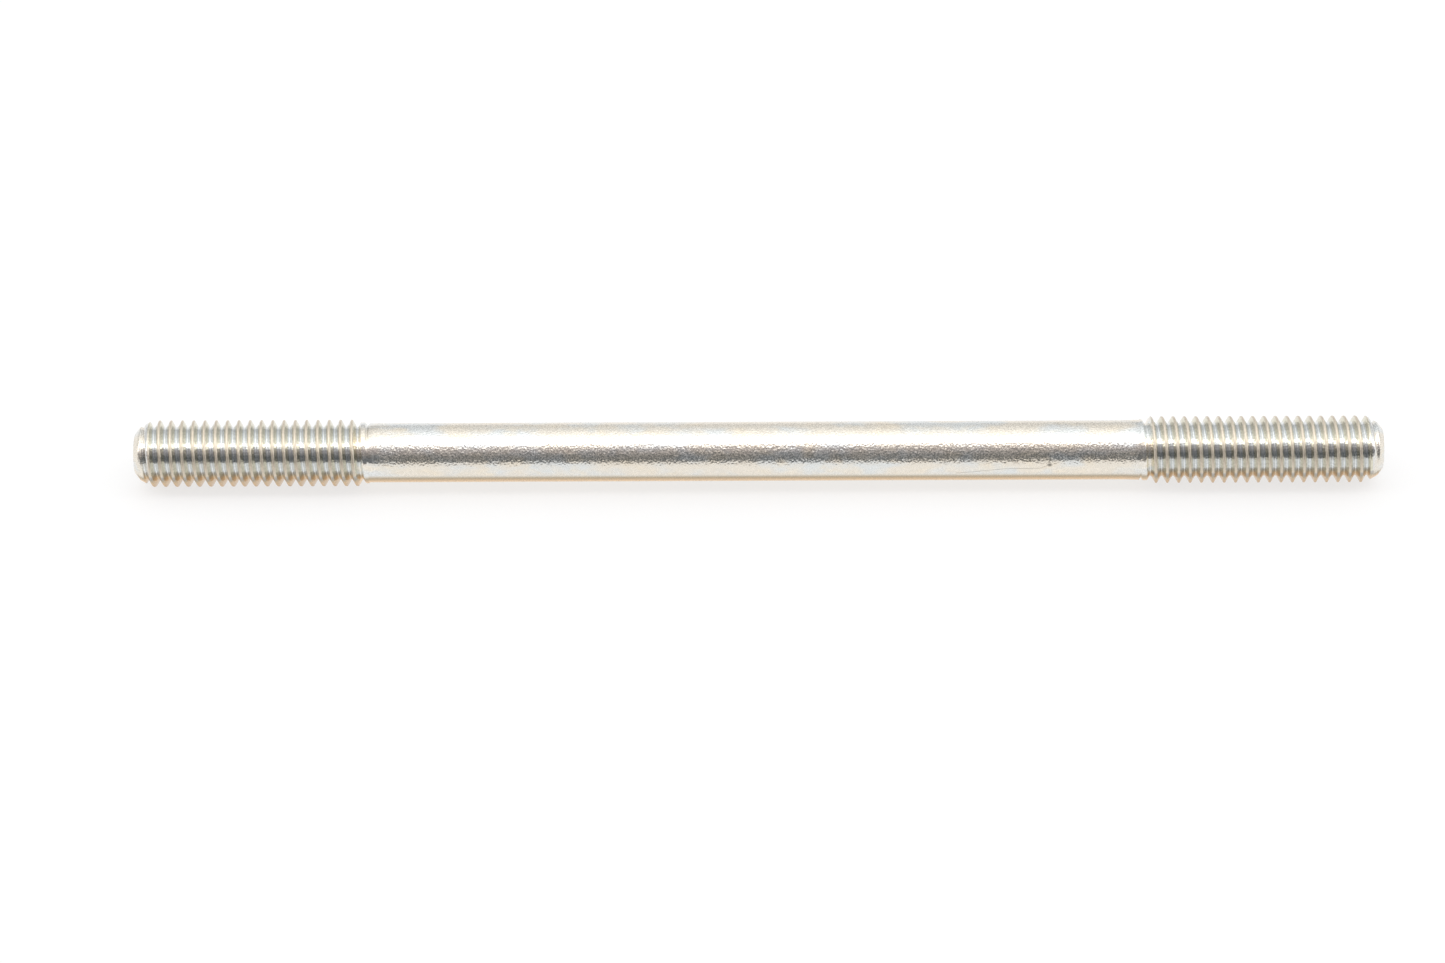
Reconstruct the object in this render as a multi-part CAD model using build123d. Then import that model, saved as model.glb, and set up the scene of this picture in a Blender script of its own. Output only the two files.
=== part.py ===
from build123d import *
import math
import os

# A stud bolt: one steel rod with a right-hand rolled thread at each end and a plain shank
# between them. The shank keeps the diameter of the blank that the threads were rolled on, so
# the crests stand above it and the roots lie below it. The rod lies along X, with the origin
# on its axis at mid-length.

# Driving sizes, in millimetres and degrees
stud_length = 110.0
shank_diameter = 5.22

# Thread form. The flanks run straight from the crest line to the root line, which gives the true
# pitch, outer, root and mean diameters. The narrow crest flat and the root radius are left out.
pitch = 1.0
crest_diameter = 5.88
thread_depth = 0.615

# Each thread's length, from the tip's face to the shoulder where the full shank starts
left_thread_length = 20.75
right_thread_length = 21.4

# Where the crest leaves each tip's face, as an angle about the axis, seen from that tip inwards
left_start_angle = 349.2
right_start_angle = 178.2

# Tip: a flat face, a chamfer, and a lead-in over which the rolled crests are not yet full
tip_face_diameter = 3.6
tip_chamfer_diameter = 4.7
tip_chamfer_length = 0.45
lead_in_length = 1.5

# Run-out: the last crest drops to a low lip, and a short cone climbs from the root to the shank
lip_height = 0.1
lip_length = 0.72
crest_drop_length = 0.28
shoulder_cone_length = 0.25

# A spline through this many points of each turn stays within 0.002 of the true helix
points_per_turn = 12

# The thread is made longer by this many turns at each end, and then trimmed
spare_turns = 2

# What trims the thread stands this far outside the full crests and inside the roots
trim_clearance = 0.05

# Sizes that follow from them
tip_face_radius = tip_face_diameter / 2
tip_chamfer_radius = tip_chamfer_diameter / 2
crest_radius = crest_diameter / 2
shank_radius = shank_diameter / 2
lip_radius = shank_radius + lip_height
root_radius = crest_radius - thread_depth
lead_in_slope = (crest_radius - tip_chamfer_radius) / (lead_in_length - tip_chamfer_length)

# One pitch of the thread's outline, as distances along the axis from the crest's middle
crest_profile = [
    (-pitch / 2, root_radius),
    (0, crest_radius),
    (pitch / 2, root_radius),
]


def helix_turn(radius, start):
    """One right-hand turn of a helix about Z, which climbs one pitch from the height start."""
    points = []
    for step in range(points_per_turn + 1):
        share = step / points_per_turn
        angle = 2 * math.pi * share
        points.append((radius * math.cos(angle), radius * math.sin(angle), start + pitch * share))
    direction = (0, radius, pitch / (2 * math.pi))
    turn = Spline(*points, tangents=[direction, direction], tangent_scalars=[1, 1])
    return turn.edge()


def thread_turn(middle):
    """The two flanks of the turn whose crest starts from the height middle."""
    edges = [helix_turn(radius, middle + offset) for offset, radius in crest_profile]
    return [Face.make_surface_from_curves(a, b) for a, b in zip(edges, edges[1:])]


def thread_closure(middle):
    """The two faces that close the thread where a turn would start from the height middle."""
    low = middle - pitch / 2
    high = middle + pitch / 2
    axis_line = Edge.make_line((0, 0, low), (0, 0, high))
    ramp = Face.make_surface_from_curves(axis_line, helix_turn(root_radius, low))
    outline = [(radius, 0, middle + offset) for offset, radius in crest_profile]
    wall = Face(Wire.make_polygon([(0, 0, low), *outline, (0, 0, high)], close=True))
    return [ramp, wall]


def threaded_rod(first, turns):
    """A solid rod with a full thread, built a turn at a time from its flanks."""
    faces = []
    for turn in range(turns):
        faces += thread_turn(first + turn * pitch)
    faces += thread_closure(first)
    faces += thread_closure(first + turns * pitch)
    return Solid(Shell(faces))


def turned(outline):
    """The solid of revolution about Z of an outline of radii and heights."""
    return revolve(Plane.XZ * make_face(Polyline(*outline, close=True)), Axis.Z)


def rolled_envelope(thread_length):
    """What bounds a rolled end: chamfer, lead-in, full crests, the drop to the lip and its end."""
    clear_radius = crest_radius + trim_clearance
    full_start = lead_in_length + trim_clearance / lead_in_slope
    lip_start = thread_length - lip_length
    inside_shank = thread_length + lip_radius - root_radius
    return turned([
        (0, 0),
        (tip_face_radius, 0),
        (tip_chamfer_radius, tip_chamfer_length),
        (clear_radius, full_start),
        (clear_radius, lip_start - crest_drop_length),
        (lip_radius, lip_start),
        (lip_radius, thread_length),
        (root_radius, inside_shank),
        (0, inside_shank),
    ])


def threaded_end(thread_length, start_angle):
    """One threaded end, with its tip's face on the XY plane and the thread along +Z."""
    turns = spare_turns + math.ceil(thread_length / pitch) + spare_turns
    rod = threaded_rod(-spare_turns * pitch, turns)
    return (Rot(0, 0, start_angle) * rod) & rolled_envelope(thread_length)


def shank():
    """The plain shank along Z from the left tip, with a short cone down to the roots at each end."""
    core_radius = root_radius - trim_clearance
    left = left_thread_length
    right = stud_length - right_thread_length
    return turned([
        (0, left - shoulder_cone_length),
        (core_radius, left - shoulder_cone_length),
        (shank_radius, left),
        (shank_radius, right),
        (core_radius, right + shoulder_cone_length),
        (0, right + shoulder_cone_length),
    ])


# Each tip's face, looking inwards along the axis
left_tip = Plane(origin=(-stud_length / 2, 0, 0), x_dir=(0, 1, 0), z_dir=(1, 0, 0))
right_tip = Plane(origin=(stud_length / 2, 0, 0), x_dir=(0, 1, 0), z_dir=(-1, 0, 0))

left_end = left_tip * threaded_end(left_thread_length, left_start_angle)
right_end = right_tip * threaded_end(right_thread_length, right_start_angle)
stud = (left_tip * shank()) + left_end + right_end

os.makedirs("parts", exist_ok=True)
export_step(stud, "parts/stud.step")
print("stud volume", round(stud.volume, 3))
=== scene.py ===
# %% [markdown]
# # A zinc-plated stud bolt
#
# A stud bolt is a steel rod with a thread at each end and a plain shank between them. This one
# is an M6 stud, 110 mm long. Its threads were rolled, its tips chamfered, and the whole rod was
# then plated with bright zinc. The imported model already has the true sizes, so it comes first,
# and everything below is built around it in the same frame: metres, with the rod along X.

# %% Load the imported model
import math

import bpy
from mathutils import Matrix, Vector


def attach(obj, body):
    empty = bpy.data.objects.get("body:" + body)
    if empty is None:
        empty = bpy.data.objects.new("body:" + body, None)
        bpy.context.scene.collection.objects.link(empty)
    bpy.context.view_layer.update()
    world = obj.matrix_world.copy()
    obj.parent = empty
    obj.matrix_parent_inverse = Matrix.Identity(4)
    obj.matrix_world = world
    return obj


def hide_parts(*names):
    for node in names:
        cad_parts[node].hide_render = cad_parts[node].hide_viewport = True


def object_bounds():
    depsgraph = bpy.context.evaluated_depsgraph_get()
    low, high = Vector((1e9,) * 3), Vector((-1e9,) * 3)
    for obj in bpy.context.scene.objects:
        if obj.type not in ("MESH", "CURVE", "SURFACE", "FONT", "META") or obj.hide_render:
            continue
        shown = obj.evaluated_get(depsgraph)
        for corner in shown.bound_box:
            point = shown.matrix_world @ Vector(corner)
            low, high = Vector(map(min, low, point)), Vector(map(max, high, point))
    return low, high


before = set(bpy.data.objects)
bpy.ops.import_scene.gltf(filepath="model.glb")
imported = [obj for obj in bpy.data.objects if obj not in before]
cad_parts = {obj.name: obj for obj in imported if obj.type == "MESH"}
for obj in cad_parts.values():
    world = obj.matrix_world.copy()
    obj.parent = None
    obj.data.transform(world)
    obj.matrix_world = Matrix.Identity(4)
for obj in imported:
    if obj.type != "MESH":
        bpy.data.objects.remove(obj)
cad_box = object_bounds()
MM = 0.001


def in_millimetres(box):
    return [[round(value / MM, 3) for value in corner] for corner in box]


print("packed model", in_millimetres(cad_box), "mm")

# %% [markdown]
# ## Sums and nodes
#
# Both the thread's shape and the zinc's finish are worked out by node trees. Written node by
# node, a tree is hard to read. So one small class wraps an output socket and lets Python's own
# operators add the Math nodes, and another adds any other node by its type.

# %% A socket that can be used in a sum
class Wire:
    """An output socket. Each operator on it adds a Math node to its tree."""

    def __init__(self, graph, socket):
        self.graph = graph
        self.socket = socket

    def output(self, key):
        return Wire(self.graph, self.socket.node.outputs[key])

    def __add__(self, other):
        return self.graph.math("ADD", self, other)

    def __sub__(self, other):
        return self.graph.math("SUBTRACT", self, other)

    def __rsub__(self, other):
        return self.graph.math("SUBTRACT", other, self)

    def __mul__(self, other):
        return self.graph.math("MULTIPLY", self, other)

    def __truediv__(self, other):
        return self.graph.math("DIVIDE", self, other)

    def __rtruediv__(self, other):
        return self.graph.math("DIVIDE", other, self)

    def __pow__(self, other):
        return self.graph.math("POWER", self, other)

    def __neg__(self):
        return self.graph.math("MULTIPLY", self, -1)

    __radd__ = __add__
    __rmul__ = __mul__


# %% A tree that is built from Python
class Graph:
    """A node tree, either of a material, of the world or of a shape."""

    def __init__(self, tree):
        self.tree = tree
        self.inputs = None
        tree.nodes.clear()

    def node(self, kind, settings=None, sockets=None, output=0):
        """Adds a node, sets its settings, then its sockets, and returns one of its outputs."""
        node = self.tree.nodes.new(kind)
        for name, value in (settings or {}).items():
            if name == "stops":
                self.set_stops(node.color_ramp, value)
            else:
                setattr(node, name, value)
        for key, value in (sockets or {}).items():
            if isinstance(value, Wire):
                self.tree.links.new(value.socket, node.inputs[key])
            else:
                node.inputs[key].default_value = value
        return Wire(self, node.outputs[output]) if node.outputs else None

    def set_stops(self, ramp, stops):
        """Gives a colour ramp its stops, each a place from 0 to 1 and a colour."""
        while len(ramp.elements) < len(stops):
            ramp.elements.new(1)
        for element, (place, colour) in zip(ramp.elements, stops):
            element.position = place
            element.color = (*colour, 1)

    def math(self, operation, *values):
        return self.node("ShaderNodeMath", {"operation": operation}, dict(enumerate(values)))

    def smaller(self, a, b):
        return self.math("MINIMUM", a, b)

    def larger(self, a, b):
        return self.math("MAXIMUM", a, b)

    def soft_smaller(self, a, b, softness):
        return self.math("SMOOTH_MIN", a, b, softness)

    def soft_larger(self, a, b, softness):
        return self.math("SMOOTH_MAX", a, b, softness)

    def step(self, value, low, high):
        """0 below low, 1 above high, and a smooth climb between them."""
        settings = {"interpolation_type": "SMOOTHSTEP"}
        sockets = {"Value": value, "From Min": low, "From Max": high}
        return self.node("ShaderNodeMapRange", settings, sockets)

    def combine(self, x, y, z):
        return self.node("ShaderNodeCombineXYZ", None, {0: x, 1: y, 2: z})

    def mix_colour(self, share, a, b, blend="MIX"):
        settings = {"data_type": "RGBA", "blend_type": blend}
        return self.node("ShaderNodeMix", settings, {0: share, 6: a, 7: b}, 2)

    def input(self, name):
        """One of the tree's own named inputs."""
        if self.inputs is None:
            self.inputs = self.node("NodeGroupInput", output=name)
        return self.inputs.output(name)

    def noise(self, place, scale, detail):
        """A smooth random value about 0.5, with so many waves a metre."""
        sockets = {"Vector": place, "Scale": scale, "Detail": detail}
        return self.node("ShaderNodeTexNoise", None, sockets)

    def join(self, *meshes):
        """Puts several meshes together."""
        joined = self.node("GeometryNodeJoinGeometry")
        for mesh in reversed(meshes):
            self.tree.links.new(mesh.socket, joined.socket.node.inputs[0])
        return joined


# %% A shape's tree with named inputs
SOCKET_KINDS = {float: "NodeSocketFloat", int: "NodeSocketInt"}


def shape_graph(name, inputs):
    """A Geometry Nodes tree whose inputs have the names, kinds and values given."""
    tree = bpy.data.node_groups.new(name, "GeometryNodeTree")
    for label, value in inputs.items():
        kind = SOCKET_KINDS[type(value)]
        tree.interface.new_socket(label, in_out="INPUT", socket_type=kind).default_value = value
    tree.interface.new_socket("Mesh", in_out="OUTPUT", socket_type="NodeSocketGeometry")
    return Graph(tree)


# %% [markdown]
# ## The camera
#
# The stud is photographed from above and in front, with a long lens that keeps it nearly free
# of perspective. The camera looks at a point a little left of the stud's middle and below it,
# which puts the stud where the photograph has it, and it is rolled by a degree.

# %% Place the camera
CAMERA_ELEVATION = math.radians(45)
CAMERA_AZIMUTH = math.radians(1.365)
CAMERA_ROLL = math.radians(-1.194)
CAMERA_DISTANCE = 423.8 * MM
CAMERA_OFFSET = (-3.096 * MM, -2.670 * MM)
CAMERA_LENS = 119.58
CAMERA_CLIP = 10.0 * MM


def add_camera():
    towards = Vector((
        math.sin(CAMERA_AZIMUTH) * math.cos(CAMERA_ELEVATION),
        -math.cos(CAMERA_AZIMUTH) * math.cos(CAMERA_ELEVATION),
        math.sin(CAMERA_ELEVATION),
    ))
    level = Vector((math.cos(CAMERA_AZIMUTH), math.sin(CAMERA_AZIMUTH), 0))
    axes = Matrix((level, towards.cross(level), towards)).transposed()
    turned = axes @ Matrix.Rotation(CAMERA_ROLL, 3, "Z")
    place = turned @ Vector((*CAMERA_OFFSET, CAMERA_DISTANCE))
    camera = bpy.data.objects.new("camera", bpy.data.cameras.new("camera"))
    camera.data.lens = CAMERA_LENS
    camera.data.clip_start = CAMERA_CLIP
    camera.matrix_world = Matrix.Translation(place) @ turned.to_4x4()
    bpy.context.scene.collection.objects.link(camera)
    bpy.context.scene.camera = camera
    print("camera at", [round(value, 4) for value in place])


add_camera()

# %% [markdown]
# ## The floor
#
# The stud lies on a plain white table. The table is only a stage, so it is one large square at
# the height of the lowest crest.

# %% Lay the floor
FLOOR_SIZE = 3.0
FLOOR_HEIGHT = cad_box[0][2]
PAPER_WHITE = (0.9, 0.9, 0.9, 1)

# The camera and the stud's reflections see the table partly as plain white, so it stays clean,
# and its shadow still shows. It sheds no more light for that.
GLOW_WHITE = (1, 1, 1, 1)
GLOW_SHARE = 0.72


def floor_material():
    material = bpy.data.materials.new("white table")
    material.use_nodes = True
    graph = Graph(material.node_tree)
    paper = graph.node("ShaderNodeBsdfDiffuse", None, {"Color": PAPER_WHITE})
    glow = graph.node("ShaderNodeEmission", None, {"Color": GLOW_WHITE, "Strength": 1.0})
    rays = graph.node("ShaderNodeLightPath")
    seen = graph.larger(rays.output("Is Camera Ray"), rays.output("Is Glossy Ray"))
    surface = graph.node("ShaderNodeMixShader", None, {0: seen * GLOW_SHARE, 1: paper, 2: glow})
    graph.node("ShaderNodeOutputMaterial", None, {"Surface": surface})
    return material


def add_floor():
    half = FLOOR_SIZE / 2
    mesh = bpy.data.meshes.new("floor")
    corners = [(-half, -half), (half, -half), (half, half), (-half, half)]
    mesh.from_pydata([(x, y, FLOOR_HEIGHT) for x, y in corners], [], [(0, 1, 2, 3)])
    mesh.materials.append(floor_material())
    floor = bpy.data.objects.new("floor", mesh)
    bpy.context.scene.collection.objects.link(floor)
    print("floor at", round(FLOOR_HEIGHT / MM, 3), "mm")


add_floor()

# %% [markdown]
# ## The light
#
# Bright metal shows what stands around it. Something broad and soft hung above the stud, with its
# brightest strip nearly overhead. The table under the stud was white, and the room behind the
# camera was dark. That gives the white band along the top of the stud, the dark band along its
# middle and the pale band below. So the light comes from the sky alone: a ramp of brightness
# that starts at the table's edge in front, climbs over the top and ends at the table's edge
# behind, measured about the rod's own axis. Lamps could light the stud too, but each of them
# would leave a spot or a streak of its own on metal as bright as this.

# %% Set the sky
SKY_STRENGTH = 6.0

# The sky's colours, by the angle above the table's edge in front, in degrees
SKY_STOPS = [
    (0, (0.135, 0.124, 0.113)),
    (2, (0.085, 0.078, 0.072)),
    (5, (0.030, 0.031, 0.032)),
    (25, (0.025, 0.026, 0.027)),
    (38, (0.043, 0.042, 0.043)),
    (50, (0.069, 0.064, 0.066)),
    (62, (0.100, 0.094, 0.096)),
    (72, (0.20, 0.195, 0.195)),
    (78, (0.58, 0.575, 0.57)),
    (86, (0.58, 0.58, 0.58)),
    (92, (0.26, 0.26, 0.26)),
    (108, (0.235, 0.235, 0.235)),
    (122, (0.188, 0.190, 0.190)),
    (144, (0.140, 0.141, 0.141)),
    (180, (0.099, 0.100, 0.101)),
]

# Square to the rod the sky is a little lighter than to the left and right. The two limits say
# how much of a direction points along the rod.
AHEAD_NARROW, AHEAD_WIDE = 0.02, 0.06
AHEAD_LIGHT = 0.026


def set_sky():
    world = bpy.data.worlds.new("sky")
    world.use_nodes = True
    graph = Graph(world.node_tree)
    direction = graph.node("ShaderNodeTexCoord", output="Generated")
    parts = graph.node("ShaderNodeSeparateXYZ", None, {0: direction})
    height = graph.math("ARCTAN2", parts.output("Z"), -parts.output("Y")) / math.pi
    stops = [(angle / 180, colour) for angle, colour in SKY_STOPS]
    ramp = graph.node("ShaderNodeValToRGB", {"stops": stops}, {"Fac": height})
    ahead = 1 - graph.step(graph.math("ABSOLUTE", parts.output("X")), AHEAD_NARROW, AHEAD_WIDE)
    lift = ahead * AHEAD_LIGHT
    colour = graph.mix_colour(1.0, ramp, graph.combine(lift, lift, lift), "ADD")
    sky = graph.node("ShaderNodeBackground", None, {"Color": colour, "Strength": SKY_STRENGTH})
    graph.node("ShaderNodeOutputWorld", None, {"Surface": sky})
    bpy.context.scene.world = world
    print("sky stops", len(stops))


set_sky()
bpy.context.scene.view_settings.view_transform = "Standard"

# %% [markdown]
# ## The stud's sizes
#
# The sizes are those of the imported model. What the model leaves plain is added here: the rounded
# crests and roots, and the soft corners that rolling and plating leave.

# %% Name the sizes
THREAD_SIZES = {
    "Half length": 55.0 * MM,
    "Pitch": 1.0 * MM,
    "Crest radius": 2.94 * MM,
    "Mean radius": 2.64 * MM,
    "Root radius": 2.325 * MM,
    "Crest softness": 0.15 * MM,
    "Root softness": 0.1 * MM,
    "Tip radius": 1.8 * MM,
    "Chamfer radius": 2.35 * MM,
    "Chamfer length": 0.45 * MM,
    "Lead-in length": 1.5 * MM,
    "Lip radius": 2.7 * MM,
    "Lip length": 0.72 * MM,
    "Crest drop length": 0.28 * MM,
    "Cone length": 0.25 * MM,
    "Corner softness": 0.06 * MM,
    "Segments": 96,
    "Rows": 16,
}

# Each end's own sizes. The start is the share of a turn at which the crest leaves the tip.
LEFT_END = {
    "Side": 1.0,
    "Thread length": 20.75 * MM,
    "Start": 349.2 / 360,
    "Shoulder radius": 2.61 * MM,
}
RIGHT_END = {
    "Side": -1.0,
    "Thread length": 21.4 * MM,
    "Start": 178.2 / 360,
    "Shoulder radius": 2.65 * MM,
}

# %% [markdown]
# ## The thread
#
# A thread follows a rule: the height of its surface above the axis depends on how far a point
# lies from the crest, and the crest climbs by one pitch a turn. A flat grid is wound into that
# shape. One of its directions runs along the helix and the other across one pitch, so each
# crest is a line of the grid and stays crisp. A Screw modifier could sweep a thread as well, but
# every turn would then be alike, and these crests rise out of the tip's chamfer and drop to a
# low lip at the shoulder. Past the ends of the thread the grid is squeezed onto a ring, where
# its points fall together and merge.

# %% The outline of one threaded end
# The flanks stand at 60 degrees to each other, and cross the mean radius a quarter of a pitch
# from the crest
FLANK_SLOPE = math.sqrt(3)
MEAN_LINE_AT = 0.25


def ridge_radius(graph, across):
    """The radius of the full thread, at a distance from the crest given in pitches."""
    inside = MEAN_LINE_AT - graph.math("ABSOLUTE", across)
    flank_height = inside * graph.input("Pitch") * FLANK_SLOPE
    flank = graph.input("Mean radius") + flank_height
    topped = graph.soft_smaller(graph.input("Crest radius"), flank, graph.input("Crest softness"))
    return graph.soft_larger(graph.input("Root radius"), topped, graph.input("Root softness"))


def tip_radius(graph, depth):
    """What the chamfer and the lead-in leave of the rod, at a depth from the tip's face."""
    chamfer_run = graph.input("Chamfer radius") - graph.input("Tip radius")
    chamfer = graph.input("Tip radius") + depth * chamfer_run / graph.input("Chamfer length")
    lead_run = graph.input("Crest radius") - graph.input("Chamfer radius")
    lead_length = graph.input("Lead-in length") - graph.input("Chamfer length")
    lead_depth = depth - graph.input("Chamfer length")
    lead = graph.input("Chamfer radius") + lead_depth * lead_run / lead_length
    return graph.smaller(chamfer, lead)


def run_out_radius(graph, left):
    """What the rolls leave of the last crest, at a distance left to the shoulder."""
    drop_run = graph.input("Crest radius") - graph.input("Lip radius")
    drop_depth = left - graph.input("Lip length")
    drop = graph.input("Lip radius") + drop_depth * drop_run / graph.input("Crest drop length")
    lip = graph.soft_larger(graph.input("Lip radius"), drop, graph.input("Corner softness"))
    return graph.smaller(lip, graph.input("Shoulder radius") + left)


def shoulder_radius(graph, left):
    """The cone that climbs from the root to the shank."""
    run = graph.input("Shoulder radius") - graph.input("Root radius")
    return graph.input("Shoulder radius") - left * run / graph.input("Cone length")


# %% Wind a grid into a threaded end
# The grid starts this many turns before the thread does, and ends as many after it
SPARE_TURNS = 2

# How far the grid's lines crowd towards the crest and the root, where the outline bends most
CROWDING = 0.6

# The rings of faces between the middle of a tip's flat face and its edge
FACE_ROWS = 4


def wound_grid(graph, turns, rows):
    """A flat grid with one turn per unit along X, and one pitch from -0.5 to 0.5 along Y."""
    sockets = {"Size X": turns, "Size Y": 1.0}
    sockets["Vertices X"] = turns * graph.input("Segments") + 1
    sockets["Vertices Y"] = rows + 1
    return graph.node("GeometryNodeMeshGrid", None, sockets)


def place_points(graph, mesh, depth, radius, angle):
    """Moves a grid's points to their depth from the tip, radius and angle about the axis."""
    side = graph.input("Side")
    x = side * (depth - graph.input("Half length"))
    y = radius * graph.math("COSINE", angle)
    z = radius * graph.math("SINE", angle) * side
    return graph.node("GeometryNodeSetPosition", None, {0: mesh, 2: graph.combine(x, y, z)})


def threaded_end_tree():
    graph = shape_graph("Threaded end", {**THREAD_SIZES, **LEFT_END})
    length = graph.input("Thread length")
    pitch = graph.input("Pitch")
    turns = graph.math("CEIL", length / pitch) + 2 * SPARE_TURNS
    grid = wound_grid(graph, turns, graph.input("Rows"))
    flat = graph.node("ShaderNodeSeparateXYZ", None, {0: graph.node("GeometryNodeInputPosition")})
    turn = flat.output("X") + turns / 2
    even = flat.output("Y")
    across = even - graph.math("SINE", even * 4 * math.pi) * (CROWDING / (4 * math.pi))
    along = (turn - graph.input("Start") - SPARE_TURNS + across) * pitch
    depth = graph.smaller(graph.larger(along, 0.0), length)
    left = length - depth
    bound = graph.smaller(tip_radius(graph, depth), run_out_radius(graph, left))
    thread = graph.smaller(bound, ridge_radius(graph, across))
    radius = graph.larger(thread, shoulder_radius(graph, left))
    wound = place_points(graph, grid, depth, radius, turn * 2 * math.pi)

    inward = 0.5 - even
    face_grid = wound_grid(graph, 1.0, FACE_ROWS)
    face_radius = graph.input("Tip radius") * (1 - inward ** 3)
    face = place_points(graph, face_grid, 0.0, face_radius, flat.output("X") * 2 * math.pi)
    graph.node("NodeGroupOutput", None, {0: graph.join(wound, face)})
    return graph.tree


end_tree = threaded_end_tree()
print("threaded end nodes", len(end_tree.nodes))

# %% [markdown]
# ## The whole rod
#
# The shank is one more wound grid, with as many points around as the threads have, so that the
# three meet point to point. A drawn and plated rod is never quite straight-sided: waves a few
# thousandths of a millimetre high are enough to make its reflections swim, so the shank gets
# them. They die out towards the shoulders. Beside the right thread the rolls have pushed the
# shank up by a hair, which is its flare. The three are then joined and their edges merged, which
# leaves one closed skin.

# %% Join the shank and the two ends
SHANK_SIZES = {
    "Left thread length": LEFT_END["Thread length"],
    "Left start": LEFT_END["Start"],
    "Left shoulder radius": LEFT_END["Shoulder radius"],
    "Right thread length": RIGHT_END["Thread length"],
    "Right start": RIGHT_END["Start"],
    "Right shoulder radius": RIGHT_END["Shoulder radius"],
    "Shank radius": 2.61 * MM,
    "Shank rows": 120,
    "Flare length": 1.6 * MM,
    "Wave height": 0.006 * MM,
    "Waves per metre": 90.0,
}
MERGE_DISTANCE = 0.001 * MM


def threaded_end(graph, name, side):
    """A threaded end of the rod, fed from the rod's own sizes."""
    sockets = {size: graph.input(size) for size in THREAD_SIZES}
    sockets["Side"] = side
    sockets["Thread length"] = graph.input(name + " thread length")
    sockets["Start"] = graph.input(name + " start")
    sockets["Shoulder radius"] = graph.input(name + " shoulder radius")
    return graph.node("GeometryNodeGroup", {"node_tree": end_tree}, sockets)


def shank(graph):
    """The plain rod between the two shoulders."""
    grid = wound_grid(graph, 1.0, graph.input("Shank rows"))
    flat = graph.node("ShaderNodeSeparateXYZ", None, {0: graph.node("GeometryNodeInputPosition")})
    length = graph.input("Half length") * 2
    span = length - graph.input("Left thread length") - graph.input("Right thread length")
    from_left = (flat.output("Y") + 0.5) * span
    from_right = span - from_left
    flare = graph.input("Flare length")
    left_share = 1 - graph.step(from_left, 0.0, flare)
    right_share = 1 - graph.step(from_right, 0.0, flare)
    left_rise = (graph.input("Left shoulder radius") - graph.input("Shank radius")) * left_share
    right_rise = (graph.input("Right shoulder radius") - graph.input("Shank radius")) * right_share
    x = from_left + graph.input("Left thread length") - graph.input("Half length")
    angle = flat.output("X") * 2 * math.pi
    around = graph.combine(graph.math("COSINE", angle), graph.math("SINE", angle),
        x * graph.input("Waves per metre"))
    wave_height = (graph.noise(around, 1.0, 1.0) - 0.5) * 2 * graph.input("Wave height")
    wave = wave_height * (1 - left_share) * (1 - right_share)
    radius = graph.input("Shank radius") + left_rise + right_rise + wave
    y = radius * graph.math("COSINE", angle)
    z = radius * graph.math("SINE", angle)
    return graph.node("GeometryNodeSetPosition", None, {0: grid, 2: graph.combine(x, y, z)})


def stud_tree(material):
    graph = shape_graph("Stud", {**THREAD_SIZES, **SHANK_SIZES})
    left = threaded_end(graph, "Left", LEFT_END["Side"])
    right = threaded_end(graph, "Right", RIGHT_END["Side"])
    rod = graph.join(left, right, shank(graph))
    welded = graph.node("GeometryNodeMergeByDistance", None, {0: rod, "Distance": MERGE_DISTANCE})
    smooth = graph.node("GeometryNodeSetShadeSmooth", None, {0: welded, "Shade Smooth": True})
    real = graph.node("GeometryNodeRealizeInstances", None, {0: smooth})
    plated = graph.node("GeometryNodeSetMaterial", None, {0: real, "Material": material})
    graph.node("NodeGroupOutput", None, {0: plated})
    return graph.tree


# %% [markdown]
# ## The zinc
#
# Bright zinc is a thin grey-white coat under a clear film that shines faintly yellow here and
# blue there. On the shank the tints lie in soft patches a few millimetres long. In the threads
# they follow the shape: the crests are rubbed to a warm cream, the flanks that face the middle of
# the rod are khaki, the others pale, and the roots look blue. Light leaves a groove only after
# several bounces, so weak tints are enough there. Along the underside of the whole rod, a painted
# dark band and a painted tawny band stand in for the table's shadow and the warm bounced light
# that are mirrored there. All of it is worked out from the point's place on the rod, so it stays
# put when the rod turns, and it stays sharp from close up, as a painted picture wrapped round the
# rod would not.

# %% Name the tints
# The shank's patches
CREAM = (0.84, 0.785, 0.695, 1)
PALE_BLUE = (0.77, 0.79, 0.785, 1)
YELLOW_FILM = (0.88, 0.79, 0.65, 1)
YELLOW_SHARE = 0.7

# The threads' roots, flanks and crests
ROOT_BLUE = (0.73, 0.75, 0.75, 1)
KHAKI_FLANK = (0.71, 0.68, 0.56, 1)
PALE_FLANK = (0.75, 0.75, 0.735, 1)
CREST_CREAM = (0.72, 0.645, 0.535, 1)

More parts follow.
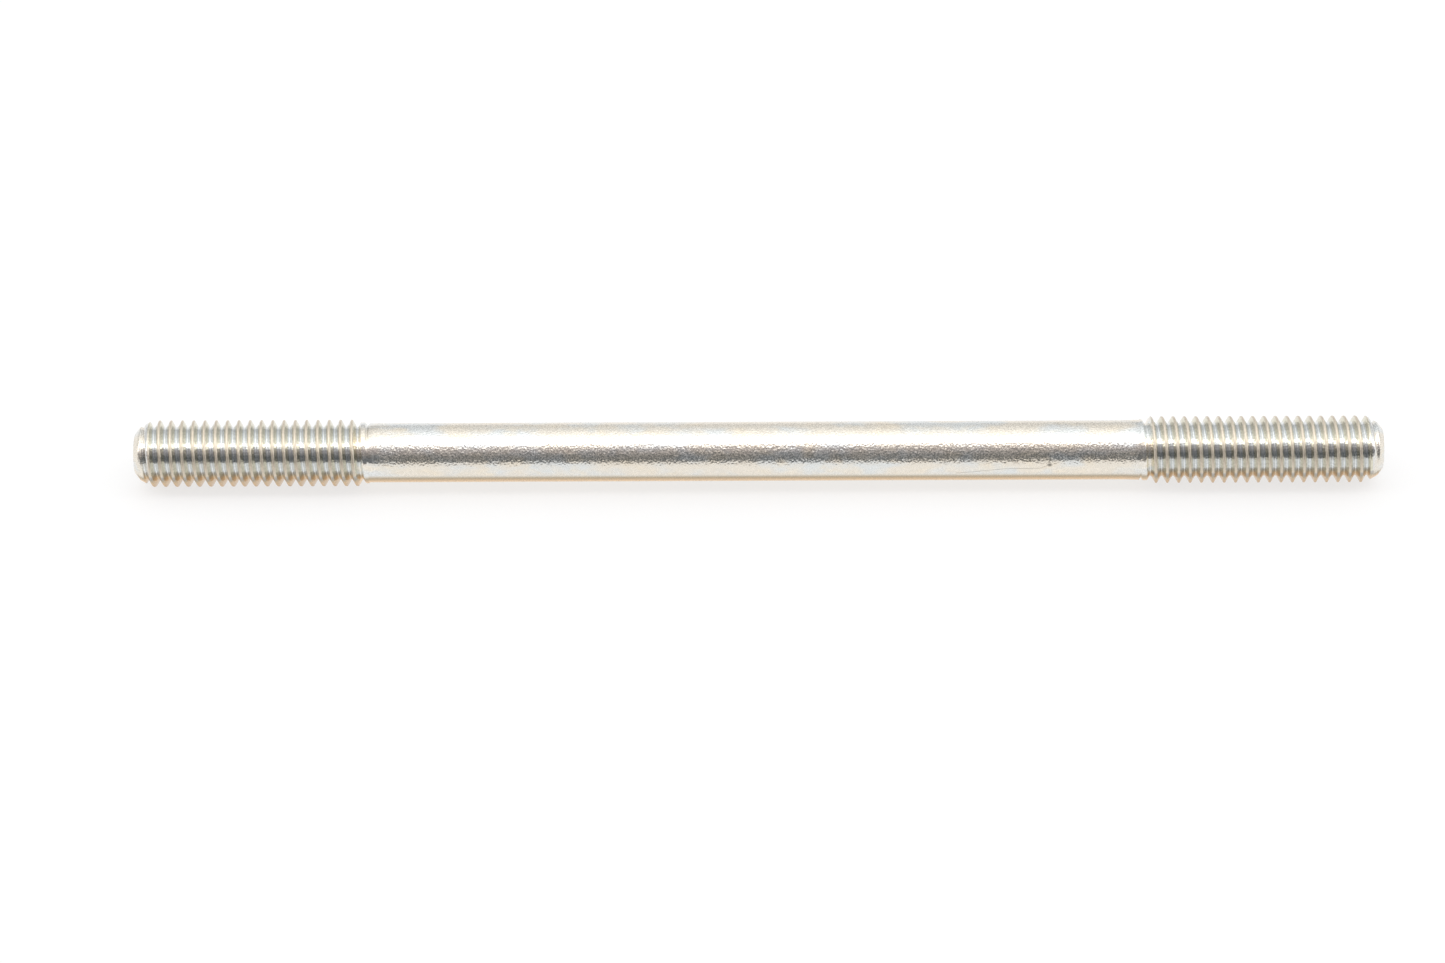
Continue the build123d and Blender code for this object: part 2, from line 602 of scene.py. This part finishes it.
# The underside's painted shade and painted reflection, by the angle below the front edge of the
# rod, in degrees. A dark band stands for the table's shadow beside the rod, and a tawny band for
# the warm light bounced under it. The stops come first for the shank and then for the threads,
# where the dark comes sooner as painted groove shade, and then come the angles where the painting
# fades in and out
SHANK_PAINTED_SHADE_AND_REFLECTION = [
    (0, (0.80, 0.78, 0.74)),
    (9, (0.72, 0.68, 0.60)),
    (16, (0.48, 0.40, 0.29)),
    (24, (0.70, 0.51, 0.32)),
    (33, (1.00, 0.72, 0.44)),
    (60, (0.98, 0.76, 0.52)),
    (120, (0.84, 0.785, 0.695)),
]
THREAD_PAINTED_SHADE_AND_REFLECTION = [
    (0, (0.64, 0.63, 0.605)),
    (3, (0.50, 0.485, 0.455)),
    (9, (0.45, 0.415, 0.35)),
    (14, (0.58, 0.485, 0.35)),
    (21, (0.74, 0.56, 0.37)),
    (60, (0.76, 0.56, 0.36)),
    (120, (0.80, 0.76, 0.69)),
]
SHANK_PAINTED_REFLECTION_STARTS = (4, 12)
THREAD_PAINTED_REFLECTION_STARTS = (-1, 2)
PAINTED_REFLECTION_ENDS = (60, 120)

# Places along the rod: where the rolled threads and the tips begin, how soft those borders are,
# and where the coat gets smoother beside the shoulders
LEFT_THREAD_AT = -35.2 * MM
RIGHT_THREAD_AT = 34.6 * MM
TIPS_AT = 54.1 * MM
BORDER = 0.15 * MM
BURNISHED_FROM = (33.0 * MM, 33.8 * MM)

# Distances from the rod's axis: where the root gives way to the flank, the flank to the crest,
# and a tip's face to its chamfer
ROOT_TO_FLANK = (2.36 * MM, 2.52 * MM)
FLANK_TO_CREST = (2.80 * MM, 2.91 * MM)
FACE_TO_CHAMFER = (1.9 * MM, 2.3 * MM)


# %% Tell the parts of the rod from each other
class Zones:
    """The rod's zones as values from 0 to 1, worked out from a point's place on it."""

    def __init__(self, graph):
        self.position = graph.node("ShaderNodeTexCoord", output="Object")
        parts = graph.node("ShaderNodeSeparateXYZ", None, {0: self.position})
        self.x, self.y, self.z = (parts.output(name) for name in "XYZ")
        self.radius = graph.math("SQRT", self.y ** 2 + self.z ** 2)
        self.from_middle = graph.math("ABSOLUTE", self.x)
        self.below = graph.math("ARCTAN2", -self.z, -self.y) * 180 / math.pi
        self.across = self.thread_phase(graph)
        left = graph.step(-self.x, -LEFT_THREAD_AT - BORDER, -LEFT_THREAD_AT + BORDER)
        right = graph.step(self.x, RIGHT_THREAD_AT - BORDER, RIGHT_THREAD_AT + BORDER)
        self.tips = graph.step(self.from_middle, TIPS_AT - BORDER, TIPS_AT + BORDER)
        self.thread = (left + right) * (1 - self.tips)
        self.burnished = graph.step(self.from_middle, *BURNISHED_FROM)
        self.root = 1 - graph.step(self.radius, *ROOT_TO_FLANK)
        self.crest = graph.step(self.radius, *FLANK_TO_CREST) * self.thread

    def thread_phase(self, graph):
        """The place across the thread as an angle: 0 on a crest, and half a turn at a root."""
        side = graph.math("SIGN", -self.x)
        depth = THREAD_SIZES["Half length"] - self.from_middle
        angle = graph.math("ARCTAN2", self.z * side, self.y)
        is_left = (side + 1) * 0.5
        start = RIGHT_END["Start"] + is_left * (LEFT_END["Start"] - RIGHT_END["Start"])
        return (depth / THREAD_SIZES["Pitch"] + start) * 2 * math.pi - angle


# %% [markdown]
# Rolling leaves faint streaks along the helix of a thread. A noise does that when it hardly
# changes along the helix and changes fast across it: its place is a point on a small circle,
# which the crest-to-crest distance goes round once, and the circle moves on slowly with the
# place about the axis.

# %% Draw the marks that rolling leaves
# The circle's radius in waves, and the waves that it moves on by for each metre up and back
MARK_CIRCLE = 0.9
MARKS_PER_METRE_UP = 600
MARKS_PER_METRE_BACK = 350
MARK_DETAIL = 2.0


def rolling_marks(graph, zones):
    """Streaks along the thread's helix, about 0.5 and from 0 to 1."""
    drift = zones.z * MARKS_PER_METRE_UP + zones.y * MARKS_PER_METRE_BACK
    on_circle = graph.combine(graph.math("COSINE", zones.across) * MARK_CIRCLE,
        graph.math("SINE", zones.across) * MARK_CIRCLE, drift)
    return graph.noise(on_circle, 1.0, MARK_DETAIL)


# %% [markdown]
# Something hard has scratched the right half of the shank and left a small pit at the end of the
# scratch. Both are drawn on the unrolled shank, as a line through a few points and a dot.

# %% Scratch the shank
# The scratch's points: the distance along the rod in millimetres, and the angle above the front
# edge in degrees
SCRATCH_POINTS = [(17.5, -5.0), (21.7, 6.0), (24.8, 7.2), (25.6, 14.7)]
SCRATCH_WIDTH = 0.05 * MM
SCRATCH_SHARE = 0.6
PIT_WIDTH = 0.26 * MM
PIT_LENGTH = 0.1 * MM


def distance_to_line(graph, u, v, start, end):
    """How far a point on the unrolled rod lies from a straight line between two others."""
    run = (end[0] - start[0], end[1] - start[1])
    length = math.hypot(*run)
    along = ((u - start[0]) * run[0] + (v - start[1]) * run[1]) / length ** 2
    share = graph.larger(0.0, graph.smaller(1.0, along))
    beside = (u - start[0] - share * run[0]) ** 2 + (v - start[1] - share * run[1]) ** 2
    return graph.math("SQRT", beside)


def scratch(graph, zones):
    """1 in the pit, a share of it in the scratch, and 0 elsewhere."""
    radius = SHANK_SIZES["Shank radius"]
    unrolled = -zones.below * (math.pi / 180 * radius)
    points = [(x * MM, math.radians(angle) * radius) for x, angle in SCRATCH_POINTS]
    inside = 0.0
    for start, end in zip(points, points[1:]):
        away = distance_to_line(graph, zones.x, unrolled, start, end)
        line = (1 - graph.step(away, 0.0, SCRATCH_WIDTH)) * SCRATCH_SHARE
        inside = graph.larger(inside, line)
    pit_start = points[-1]
    pit_end = (pit_start[0] + PIT_LENGTH, pit_start[1])
    pit = distance_to_line(graph, zones.x, unrolled, pit_start, pit_end)
    return graph.larger(inside, 1 - graph.step(pit, 0.0, PIT_WIDTH))


# %% [markdown]
# The colours are now laid over each other: the patches on the shank or the tints in the threads,
# then the underside's painted shade and painted reflection, the scratch, and the specks. The
# specks are the zinc's crystals. They are rougher than the coat between them as well, and with a
# very low bump they make it sparkle.

# %% Lay tints over a colour
def patches(graph, place, waves, detail, low, high):
    """Patches of a noise, with so many waves a metre: 0 between them and 1 inside them."""
    return graph.step(graph.noise(place, waves, detail), low, high)


def between(limits, share):
    """The first limit where the share is 0, and the second where it is 1."""
    return limits[0] + share * (limits[1] - limits[0])


def tinted(graph, colour, brightness):
    """A colour made darker or lighter all over."""
    grey = graph.combine(brightness, brightness, brightness)
    return graph.mix_colour(1.0, colour, grey, "MULTIPLY")


# %% Mix the zinc's colours
# Patches on the shank: the waves a metre, the detail, and the noise's values at which a patch
# begins and at which it is full
BLUE_PATCHES = (500.0, 3.0, 0.42, 0.66)
YELLOW_PATCHES = (800.0, 4.0, 0.48, 0.70)

# How much the patches keep of the distances along the rod, which makes them longer than wide
PATCH_STRETCH = 0.5

# Where one flank gives way to the other, as the sine of the angle across the thread
FLANK_BORDER = (-0.3, 0.3)

MARK_BRIGHTNESS = (0.86, 1.14)
SPECK_BRIGHTNESS = (0.93, 1.07)
SCRATCH_DARKNESS = 0.75


def shank_colour(graph, zones):
    stretched = graph.combine(zones.x * PATCH_STRETCH, zones.y, zones.z)
    blue_share = patches(graph, stretched, *BLUE_PATCHES)
    yellow_share = patches(graph, stretched, *YELLOW_PATCHES) * YELLOW_SHARE
    colour = graph.mix_colour(blue_share, CREAM, PALE_BLUE)
    return graph.mix_colour(yellow_share, colour, YELLOW_FILM)


def thread_colour(graph, zones, marks):
    inner_side = graph.step(graph.math("SINE", zones.across), *FLANK_BORDER)
    colour = graph.mix_colour(inner_side, PALE_FLANK, KHAKI_FLANK)
    colour = graph.mix_colour(zones.root, colour, ROOT_BLUE)
    colour = tinted(graph, colour, between(MARK_BRIGHTNESS, marks))
    return graph.mix_colour(zones.crest, colour, CREST_CREAM)


def with_painted_reflection(graph, zones, colour, painted_stops, starts):
    """A colour with the underside's painted shade and painted reflection over it, but for the
    tips' flat faces.
    """
    last = painted_stops[-1][0]
    stops = [(angle / last, tint) for angle, tint in painted_stops]
    # The ramp paints shade and a reflection onto the underside: dark where the table's shadow
    # beside the rod is mirrored, tawny where warm bounced light is.
    painted_reflection = graph.node("ShaderNodeValToRGB", {"stops": stops}, {"Fac": zones.below / last})
    share = graph.step(zones.below, *starts) * (1 - graph.step(zones.below, *PAINTED_REFLECTION_ENDS))
    off_the_face = graph.step(zones.radius, *FACE_TO_CHAMFER)
    return graph.mix_colour(share * off_the_face, colour, painted_reflection)


def zinc_colour(graph, zones, marks, specks):
    # In the threads the painted underside darkens sooner, as painted shade in the grooves.
    thread = with_painted_reflection(graph, zones, thread_colour(graph, zones, marks), THREAD_PAINTED_SHADE_AND_REFLECTION,
        THREAD_PAINTED_REFLECTION_STARTS)
    smooth = with_painted_reflection(graph, zones, shank_colour(graph, zones), SHANK_PAINTED_SHADE_AND_REFLECTION, SHANK_PAINTED_REFLECTION_STARTS)
    colour = graph.mix_colour(zones.thread, smooth, thread)
    colour = tinted(graph, colour, 1 - scratch(graph, zones) * SCRATCH_DARKNESS)
    return tinted(graph, colour, between(SPECK_BRIGHTNESS, specks))


# %% Make the zinc
# The specks, with the same four numbers as the patches, and the grain's waves a metre
SPECKS = (7500.0, 1.0, 0.42, 0.62)
GRAINS_PER_METRE = 5800.0

# The bump's unit of height, and the heights of the grain and the marks in it
BUMP_UNIT = 1.0 * MM
GRAIN_HEIGHT = 0.025
MARK_HEIGHT = 0.02

# How rough the coat is by itself, and what the specks, the crests and the tips add
BASE_ROUGHNESS = 0.10
SPECK_ROUGHNESS = 0.26
CREST_ROUGHNESS = 0.3
TIP_ROUGHNESS = 0.12

# How much less grain the coat has over the rolled ends, where the steel under it is smoother
BURNISHING = 0.55


def zinc_material():
    material = bpy.data.materials.new("bright zinc")
    material.use_nodes = True
    graph = Graph(material.node_tree)
    zones = Zones(graph)
    marks = rolling_marks(graph, zones)
    specks = patches(graph, zones.position, *SPECKS)
    coarseness = 1 - zones.burnished * BURNISHING
    grain = graph.noise(zones.position, GRAINS_PER_METRE, 0.0) * coarseness * GRAIN_HEIGHT
    lines = marks * zones.thread * MARK_HEIGHT
    bump = graph.node("ShaderNodeBump", None,
        {"Strength": 1.0, "Distance": BUMP_UNIT, "Height": grain + lines})
    rubbed = zones.crest * CREST_ROUGHNESS + zones.tips * TIP_ROUGHNESS
    shader = graph.node("ShaderNodeBsdfPrincipled", None, {
        "Base Color": zinc_colour(graph, zones, marks, specks),
        "Metallic": 1.0,
        "Roughness": BASE_ROUGHNESS + specks * coarseness * SPECK_ROUGHNESS + rubbed,
        "Normal": bump,
    })
    graph.node("ShaderNodeOutputMaterial", None, {"Surface": shader})
    print("bright zinc nodes", len(graph.tree.nodes))
    return material


# %% [markdown]
# ## The finished stud
#
# The tree is run once with the sizes above. What it grows is kept as a plain mesh, so nothing is
# left to work out later, and the stud lies at the origin, unturned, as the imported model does.

# %% Grow the stud
def grow(name, tree, sizes):
    """Runs a tree once with the sizes given and keeps its result as a plain mesh."""
    piece = bpy.data.objects.new(name, bpy.data.meshes.new(name))
    bpy.context.scene.collection.objects.link(piece)
    modifier = piece.modifiers.new("grow", "NODES")
    modifier.node_group = tree
    for item in tree.interface.items_tree:
        if item.in_out == "INPUT":
            modifier[item.identifier] = sizes[item.name]
    grown = piece.evaluated_get(bpy.context.evaluated_depsgraph_get())
    mesh = bpy.data.meshes.new_from_object(grown)
    piece.modifiers.remove(modifier)
    piece.data = mesh
    mesh.name = name
    triangles = sum(len(face.vertices) - 2 for face in mesh.polygons)
    print(name, "has", len(mesh.vertices), "points and", triangles, "triangles")
    return piece


stud = grow("plated_stud", stud_tree(zinc_material()), {**THREAD_SIZES, **SHANK_SIZES})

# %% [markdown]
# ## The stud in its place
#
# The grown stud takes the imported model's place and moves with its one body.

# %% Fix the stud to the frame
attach(stud, "root")
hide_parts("stud")
